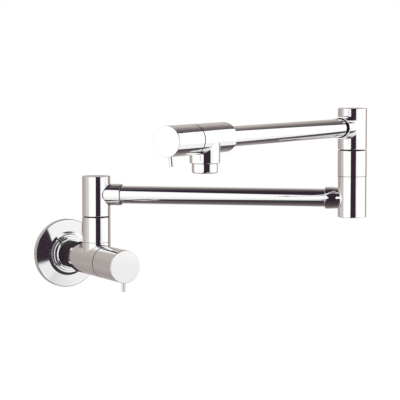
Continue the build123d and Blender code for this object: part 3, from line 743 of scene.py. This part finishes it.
# Past the collar's lip the end takes the dark plate, a painted shadow line above the aerator.
outlet_lip = 11.3               # the polish ends here on the collar's end
outlet_thread = 10.95           # bore that takes the aerator's thread
outlet_floor = 13.9
outlet_step = 9.5               # the waterway opens into the outlet from here
tube_floor = -23.2              # the arm's tube ends here

outlet_end = outline([
    (19, spout_radius, 0), (outlet_drop, spout_radius, 0.6), (outlet_drop, outlet_lip, 0),
])
outlet_bore = outline([
    (outlet_drop, outlet_lip, 0), (outlet_drop, outlet_thread, 0),
    (outlet_floor, outlet_thread, 0), (outlet_floor, waterway, 0),
    (outlet_step, waterway, 0), (outlet_step, 0, 0),
])
collar, collar_inside = branch(
    spout_radius, spout_radius, 0, outlet_half, -90, outlet_end, outlet_bore, soft=0.9
)
spout_face = np.array([[spout_radius, outlet_half], [spout_radius, spout_front - rim_break]])
spout_rear = outline([
    (mouth_land, -spout_back, 0), (spout_radius, -spout_back, 0.5),
    (spout_radius, -outlet_half, 0),
])
spout_bore = outline([
    (spout_radius, spout_front - rim_break, 0), (spout_radius - rim_break, spout_front, 0),
    (housing_radius, spout_front, 0),
    *cartridge_cavity,
    (waterway, tube_floor, 0), (tube_bore, tube_floor, 0),
    (tube_bore, tube_bevel - spout_back, 0), (tube_bore + tube_bevel, -spout_back, 0),
    (mouth_land, -spout_back, 0),
])
spout_outside = [turned(spout_face), turned(spout_rear)] + collar
make_piece("spout_body", spout_outside, [turned(spout_bore)] + collar_inside, at_spout)

# %% Aerator ring
ring_radius = 11.7
ring_hole = 8.7
ring_end = -30.8
ring_floor = -29.6              # the insert rests here
ring_shoulder = -outlet_drop - rim_break
ring_top = -15.0
ring_thread, ring_inside = 10.9, 9.8

aerator_line = outline([
    (ring_hole, ring_floor, 0), (ring_hole, ring_end, 0.15), (ring_radius, ring_end, 1.6),
    (ring_radius, ring_shoulder, 0),
])
aerator_thread = outline([
    (ring_radius, ring_shoulder, 0), (ring_radius - rim_break, -outlet_drop, 0),
    (ring_thread, -outlet_drop, 0), (ring_thread, ring_top, 0), (ring_inside, ring_top, 0),
    (ring_inside, ring_floor, 0), (ring_hole, ring_floor, 0),
])
at_outlet = standing(outlet, outer_arm)
make_piece("aerator_housing", [turned(aerator_line)], [turned(aerator_thread)], at_outlet)

# %% [markdown]
# ## Handles and their lever pins
# A handle is a straight cup with a thick end. A small pin screwed into the thick end is what the
# hand turns it by, and a headless screw underneath locks it to the spindle.

# %% Both handles
handle_end = 8.0                # how thick the closed end is
handle_screw = 31.9             # valve axis point to the screw under a handle
hole_sink = 0.7                 # handle's surface to the mouth of its two holes
screw_skin = 0.1                # metal left between the screw's hole and the cup's inside
lever_inset = 4.0               # handle's end to the axis of the lever
lever_hole = 2.1
lever_half = 3.3                # half the length of wall that the lever's hole lies in
lever_soft = 0.08
lever_sink = 1.4                # handle's surface to the shoulder that the lever sits on
lever_thread_hole = 1.55
lever_thread_depth = 6.5


def handle(radius, wall, low, high):
    """A cup open towards the valve, with a hole for the screw and one for the lever below."""
    lever = high - lever_inset
    root = radius - lever_sink
    floor = high - handle_end
    rim = np.array([[radius, handle_screw - screw_half], [radius, low + rim_break]])
    cup = outline([
        (radius, low + rim_break, 0), (radius - rim_break, low, 0), (radius - wall, low, 0),
        (radius - wall, floor, 0), (0, floor, 0),
    ])
    between = np.array([[radius, handle_screw + screw_half], [radius, lever - lever_half]])
    face = outline([(radius, lever + lever_half, 0), (radius, high, 0.5), (0, high, 0)])
    mouth = radius - hole_sink
    screw = screw_hole(radius, handle_screw, -90, mouth, radius - wall + screw_skin)
    seat = [
        (root, lever_hole), (root, lever_thread_hole),
        (root - lever_thread_depth, lever_thread_hole), (root - lever_thread_depth, 0),
    ]
    pin = hole(radius, lever_hole, lever, lever_half, -90, mouth, seat, lever_soft)
    polished = [turned(rim), turned(between), turned(face)] + screw[0] + pin[0]
    return polished, [turned(cup)] + screw[1] + pin[1]


# %% Both levers
lever_radius = 2.05
lever_thread = 1.5
lever_thread_length = 6.2


def lever_pin(radius, stand_out):
    """A pin with a thinner thread, along Z from the valve's axis."""
    root = radius - lever_sink
    tip = radius + stand_out
    end = root - lever_thread_length
    pin = outline([(lever_radius, root, 0), (lever_radius, tip, 0.4), (0, tip, 0)])
    thread = outline([
        (0, end, 0), (lever_thread, end, 0.2), (lever_thread, root, 0), (lever_radius, root, 0),
    ])
    return [turned(pin)], [turned(thread)]


def lever_place(place, station):
    """The frame of a pin: Z along the handle's downward side at a station on its axis."""
    origin, (side, above, along) = place
    return origin + along * station * MM, np.stack([side, along, -above])


spout_lever_lean = 7.6          # degrees from straight down
at_spout_handle = lying(outlet, outer_arm, spout_lever_lean)
valve_cup = {"radius": valve_radius, "wall": 2.0, "low": 26.2, "high": 69.8}
spout_cup = {"radius": spout_radius, "wall": 1.5, "low": 21.0, "high": 62.8}
valve_lever_reach = 9.0         # handle's surface to the lever's tip
spout_lever_reach = 8.35
handles = (
    ("valve", at_valve, valve_cup, valve_lever_reach),
    ("spout", at_spout_handle, spout_cup, spout_lever_reach),
)
for name, place, cup, stand_out in handles:
    make_piece(name + "_handle", *handle(**cup), place)
    pin_place = lever_place(place, cup["high"] - lever_inset)
    make_piece(name + "_lever", *lever_pin(cup["radius"], stand_out), pin_place)

# %% [markdown]
# ## Finishes inside the faucet
# Brass spigots and cartridge housings, black rubber rings, white ceramic discs, moulded plastic
# inserts and stainless screws keep the frame's own meshes and get their finishes here.

# %% Brass, rubber, ceramic, plastic and steel
# Turned brass: fine tool marks and a slightly uneven tarnish.
brass = make_finish(
    "turned_brass", metal=1.0, dark=(0.70, 0.48, 0.18), light=(0.86, 0.64, 0.30),
    roughness=(0.22, 0.36), relief=1e-5, scales=(120, 400, 900),
)
# The swivel spigots: brass painted near black, a painted shadow line where they show in a gap.
painted_shade_brass = make_finish(
    "painted_shade_brass", metal=0.5, dark=(0.020, 0.015, 0.012), light=(0.07, 0.05, 0.03),
    roughness=(0.35, 0.6), relief=1e-5, scales=(150, 500, 1200),
)
# Black rubber: dull, with a fine grain and a little dust.
rubber = make_finish(
    "black_rubber", metal=0.0, dark=(0.012, 0.012, 0.013), light=(0.035, 0.035, 0.037),
    roughness=(0.55, 0.8), relief=2e-5, scales=(300, 700, 2500),
)
# Lapped white ceramic: dense, faintly warm, almost glossy.
ceramic = make_finish(
    "lapped_ceramic", metal=0.0, dark=(0.78, 0.77, 0.73), light=(0.86, 0.85, 0.82),
    roughness=(0.12, 0.25), relief=4e-6, scales=(500, 900, 3000),
)
# Moulded acetal: off-white with soft flow marks.
plastic = make_finish(
    "moulded_plastic", metal=0.0, dark=(0.60, 0.60, 0.57), light=(0.72, 0.72, 0.69),
    roughness=(0.35, 0.5), relief=1.5e-5, scales=(90, 350, 1500), details=(1, 3, 2),
)
# Stainless steel screws: bright, with fine scratches.
steel = make_finish(
    "stainless_steel", metal=1.0, dark=(0.50, 0.50, 0.49), light=(0.64, 0.63, 0.62),
    roughness=(0.18, 0.36), relief=8e-6, scales=(500, 900, 2400),
)
finish_of_slot = {
    "chrome": chrome, "brass": brass, "rubber": rubber,
    "ceramic": ceramic, "plastic": plastic, "steel": steel,
}
for node, thing in frame["nodes"].items():
    finish = painted_shade_brass if node.endswith("_spigot") else finish_of_slot[slot_of[node]]
    thing.data.materials.clear()
    thing.data.materials.append(finish)
print(len(frame["nodes"]), "pieces of the frame have their finish")

# %% [markdown]
# ## The studio
# The faucet hangs in front of plain white, and the eye sees nothing else. Chrome shows the whole
# studio: a bright panel close on the left, another on the right, the dark gap between them where
# the camera stands, a grey backdrop behind, and darkness above and below. The panels are real
# flat lights here, because near panels slide over the chrome from one piece to the next. The far
# backdrop only depends on direction, so it belongs to the world.


# %% Helpers for light
def calculate(tree, operation, *values):
    """One math node on outputs or numbers."""
    return add_node(tree, "Math", dict(enumerate(values)), operation=operation).outputs["Value"]


def ramp(tree, value, points):
    """A piecewise linear curve through (place, height) points, for places from 0 to 1."""
    top = max(height for _, height in points)
    node = add_node(tree, "ValToRGB", {"Fac": value})
    stops = node.color_ramp.elements
    stops[0].position, stops[1].position = points[0][0], points[-1][0]
    for place, _ in points[1:-1]:
        stops.new(place)
    for stop, (_, height) in zip(stops, points):
        stop.color = (height / top, height / top, height / top, 1)
    return calculate(tree, "MULTIPLY", node.outputs["Color"], top)


def blend(tree, factor, first, second):
    """Mix two colours by a factor, which may go past 1."""
    inputs = {"Factor": factor, "A": first, "B": second}
    mix = add_node(tree, "Mix", inputs, data_type="RGBA", clamp_factor=False)
    return mix.outputs["Result"]


def choose(tree, factor, first, second):
    """The first shader where the factor is 0, the second where it is 1."""
    return add_node(tree, "MixShader", {"Fac": factor, 1: first, 2: second}).outputs["Shader"]


# %% World: white for the eye, the far studio for the chrome
def backdrop(tree):
    """The colour of the far studio, by azimuth and elevation, both from 0 to 1."""
    where = add_node(tree, "TexCoord").outputs["Generated"]
    x, y, z = add_node(tree, "SeparateXYZ", {"Vector": where}).outputs
    turn = calculate(tree, "DIVIDE", calculate(tree, "ARCTAN2", y, x), 2 * np.pi)
    tilt = calculate(tree, "DIVIDE", calculate(tree, "ARCSINE", z), np.pi)
    azimuth = calculate(tree, "ADD", turn, 0.5)
    elevation = calculate(tree, "ADD", tilt, 0.5)
    around = ramp(tree, azimuth, [
        (0.0, 0.0), (0.499, 0.0), (0.53, 0.08), (0.558, 0.22), (0.578, 0.32), (0.6, 0.54),
        (0.625, 0.86), (0.65, 1.06), (0.68, 1.08), (0.72, 0.98), (0.80, 0.93), (0.85, 1.03),
        (0.88, 1.16), (0.914, 1.38), (0.944, 1.52), (0.999, 1.9), (1.0, 0.0),
    ])
    height = ramp(tree, elevation, [
        (0.0, 0.06), (0.06, 0.12), (0.12, 0.26), (0.2, 0.46), (0.29, 0.72), (0.33, 0.78),
        (0.37, 0.92), (0.42, 1.06), (0.456, 1.0), (0.5, 0.98), (0.544, 1.02), (0.6, 1.2),
        (0.66, 1.25), (0.72, 1.1), (0.78, 0.9), (0.84, 0.6), (0.92, 0.14), (1.0, 0.0),
    ])
    corner = calculate(
        tree, "MULTIPLY",
        ramp(tree, azimuth, [(0.48, 0.0), (0.499, 0.72), (0.56, 0.72), (0.64, 0.0)]),
        ramp(tree, elevation, [(0.39, 0.0), (0.44, 1.0), (0.54, 1.0), (0.6, 0.0)]),
    )
    grey = calculate(tree, "ADD", calculate(tree, "MULTIPLY", around, height), corner)
    depth = ramp(tree, elevation, [(0.0, 1.0), (0.15, 0.55), (0.36, 0.0), (1.0, 0.0)])
    dark = blend(tree, depth, (0.0365, 0.0232, 0.0365, 1), (0.10, 0.08, 0.08, 1))
    return blend(tree, grey, dark, (0.475, 0.425, 0.405, 1))


def make_world():
    """White for the camera, a little less for dull pieces, and the far studio for the chrome."""
    world = bpy.data.worlds.new("studio")
    bpy.context.scene.world = world
    world.use_nodes = True
    tree = world.node_tree
    tree.nodes.clear()
    white = (1, 1, 1, 1)
    sight = add_node(tree, "Background", {"Color": white}).outputs["Background"]
    soft = add_node(tree, "Background", {"Color": white, "Strength": 0.8}).outputs["Background"]
    mirror = add_node(tree, "Background", {"Color": backdrop(tree)}).outputs["Background"]
    rays = add_node(tree, "LightPath").outputs
    unseen = choose(tree, rays["Is Glossy Ray"], soft, mirror)
    surface = choose(tree, rays["Is Camera Ray"], unseen, sight)
    add_node(tree, "OutputWorld", {"Surface": surface})
    print("world:", world.name)


make_world()


# %% A flat panel that only the chrome sees
def panel_light(name, across, upward, one_sided, tint):
    """A material whose brightness is a curve of u times a curve of v."""
    material = bpy.data.materials.new(name)
    material.use_nodes = True
    tree = material.node_tree
    tree.nodes.clear()
    where = add_node(tree, "TexCoord").outputs["UV"]
    u, v, _ = add_node(tree, "SeparateXYZ", {"Vector": where}).outputs
    light = calculate(tree, "MULTIPLY", ramp(tree, u, across), ramp(tree, v, upward))
    glow = add_node(tree, "Emission", {"Color": (*tint, 1), "Strength": light})
    surface = glow.outputs["Emission"]
    if one_sided:
        behind = add_node(tree, "NewGeometry").outputs["Backfacing"]
        clear = add_node(tree, "BsdfTransparent").outputs["BSDF"]
        surface = choose(tree, behind, surface, clear)
    add_node(tree, "OutputMaterial", {"Surface": surface})
    return material


def make_panel(name, near, far, corners, across, upward, one_sided=False, tint=(1.0, 1.0, 1.0)):
    """An upright flat panel between two floor points.

    Each corner is (share of the way from near to far, height, u, v). Its brightness is a curve
    of u times a curve of v. A one-sided panel shows only the side on which its corners run
    anticlockwise.
    """
    ends = np.array([near, far])
    share, height, u, v = np.array(corners, float).T
    points = np.column_stack([ends[0] + share[:, None] * (ends[1] - ends[0]), height])
    count = len(points)
    fan = np.array([(2, (2 + k) % count, (3 + k) % count) for k in range(1, count - 1)])
    mesh = bpy.data.meshes.new(name)
    mesh.from_pydata(points, [], fan)
    corner_uv = np.column_stack([u, v])[fan.ravel()]
    mesh.uv_layers.new(name="panel").data.foreach_set("uv", corner_uv.ravel())
    mesh.materials.append(panel_light(name, across, upward, one_sided, tint))
    panel = new_object(name, mesh)
    panel.visible_camera = panel.visible_diffuse = panel.visible_shadow = False
    panel.visible_transmission = panel.visible_volume_scatter = False
    print("panel:", name)


# %% The large panels on the left, on the right and below
left_corner, right_corner = (-0.485, -0.902), (0.16, -1.13)
make_panel(
    "left_panel", left_corner, (-0.33, -0.05),
    [(0.06, -0.53, 0, 0), (1, -0.53, 1, 0), (1, 0.64, 1, 1), (0.06, 0.64, 0, 1),
     (-0.03, 0.3, 0, 0.709), (-0.1, 0.1, 0, 0.538), (-0.05, 0, 0, 0.453),
     (0.01, -0.06, 0, 0.402), (0.02, -0.15, 0, 0.325)],
    [(0, 1.08), (0.08, 1.15), (0.88, 1.15), (1, 0.62)],
    [(0, 0.35), (0.07, 0.85), (0.3, 0.88), (0.42, 1), (0.94, 1), (1, 0.4)],
)
make_panel(
    "right_panel", right_corner, (1.06, -0.098),
    [(0, -0.75, 0, 0), (1, -0.42, 1, 0.2185), (0.9, 0, 1, 0.4967), (1, 0.76, 1, 1),
     (0, 0.3, 0, 0.695)],
    [(0, 0.86), (0.24, 1.0), (0.48, 1.04), (1, 1.06)],
    [(0, 0.5), (0.066, 0.85), (0.132, 0.94), (0.3, 0.97), (0.41, 0.95), (0.43, 0.97),
     (0.454, 1.1), (0.5, 1.14), (1, 1.1)],
)
make_panel(
    "low_panel", (-0.16, -1.02), right_corner,
    [(0, -0.75, 0, 0), (1, -0.75, 1, 0), (1, -0.24, 1, 1), (0, -0.24, 0, 1)],
    [(0, 0.5), (0.2, 0.95), (1, 0.95)], [(0, 1), (0.9, 1), (1, 0.05)],
)

# %% [markdown]
# ## Small cards
# A card behind the riser, white towards the flange and brown towards the riser, keeps each of
# the two off the other. A dark card on the left does the same for the flange's collar. Each is
# seen from one side only, and an even one has the same brightness all over.

# %% Cards by the flange, the riser and the collar
even = [(0, 1), (1, 1)]
make_panel(
    "flange_card", (0.05, -0.05), (-0.0175, -0.05),
    [(0, 0.0185, 0, 0), (1, 0.0185, 1, 0), (1, 0.052, 1, 1), (0, 0.06, 0, 1)],
    [(0, 1.02), (1, 1.02)], even, one_sided=True,
)
make_panel(
    "riser_card", (-0.018, -0.0495), (0.0, -0.0495),
    [(0, 0.0185, 0, 0), (1, 0.0185, 1, 0), (1, 0.044, 1, 1), (0, 0.044, 0, 1)],
    [(0, 0.25), (0.4, 0.08), (1, 0.06)], [(0, 3), (0.15, 2.5), (0.4, 1), (1, 1)],
    one_sided=True, tint=(1.0, 0.86, 0.84),
)
make_panel(
    "collar_card", (-0.0465, -0.0245), (-0.0555, -0.0125),
    [(0, -0.055, 0, 0), (1, -0.055, 1, 0), (1, 0.055, 1, 1), (0, 0.055, 0, 1)],
    [(0, 0.16), (1, 0.16)], even, one_sided=True, tint=(1.0, 0.8, 0.85),
)

# %% [markdown]
# ## Floor and lamp
# The floor lies far below the wall piece and only holds a faint shadow. It gives some light of
# its own, so that with the lamp's it is as white as the background.


# %% Floor
def floor_light():
    """Dull grey paint that glows a little, for the camera only."""
    material = bpy.data.materials.new("studio_floor")
    material.use_nodes = True
    tree = material.node_tree
    paint = feed(tree, tree.nodes["Principled BSDF"], {
        "Base Color": (0.85, 0.85, 0.85, 1), "Roughness": 0.95, "Specular IOR Level": 0.0,
    }).outputs["BSDF"]
    glow = add_node(tree, "Emission", {"Color": (0.3, 0.3, 0.3, 1)}).outputs["Emission"]
    both = add_node(tree, "AddShader", {0: paint, 1: glow}).outputs["Shader"]
    seen = add_node(tree, "LightPath").outputs["Is Camera Ray"]
    feed(tree, tree.nodes["Material Output"], {"Surface": choose(tree, seen, paint, both)})
    return material


def make_floor(radius, centre, height):
    """A flat round grid; its points are (r cos t, r sin t + centre, height)."""
    rings, columns = 12, 96
    angle = circle(columns)
    r = np.linspace(0.0, radius, rings)[:, None]
    grid = [r * np.cos(angle), r * np.sin(angle) + centre, 0 * r + height + 0 * angle]
    points = np.stack(grid, -1)
    mesh = bpy.data.meshes.new("floor")
    mesh.from_pydata(points.reshape(-1, 3), [], quads(rings, columns))
    mesh.materials.append(floor_light())
    floor = new_object("floor", mesh)
    floor.visible_glossy = False
    print("floor", -height, "m below the wall piece")


make_floor(radius=2.3, centre=-0.25, height=-0.5)

# %% Lamp
lamp_data = bpy.data.lights.new("soft_panel", "AREA")
lamp_data.shape = "DISK"
lamp_data.size = 1.2
lamp_data.energy = 12.0
lamp = new_object("soft_panel", lamp_data)
lamp.location = (-0.6, -1.2, 1.6)
lamp.rotation_euler = (radians(38), 0, radians(-28))
lamp.visible_glossy = False
print("lamp:", lamp_data.energy, "W")

# %% [markdown]
# ## Camera
# The camera is a long lens that looks a little down; a small shift keeps the upright hubs
# upright, as in product photographs.

# %% Camera
camera_data = bpy.data.cameras.new("camera")
camera_data.sensor_width = 36.0
camera_data.lens = 155.927
camera_data.shift_x = -0.03
camera_data.shift_y = -0.09134
camera_data.clip_start = 0.05
camera_data.clip_end = 20.0
camera = new_object("camera", camera_data)
camera.location = (-0.78044, -1.75285, 0.21903)
camera.rotation_euler = (radians(86.4), radians(0.0101), radians(-28.8716))
bpy.context.scene.camera = camera
bpy.context.scene.view_settings.view_transform = "Standard"
print("camera at", [round(v, 3) for v in camera.location])
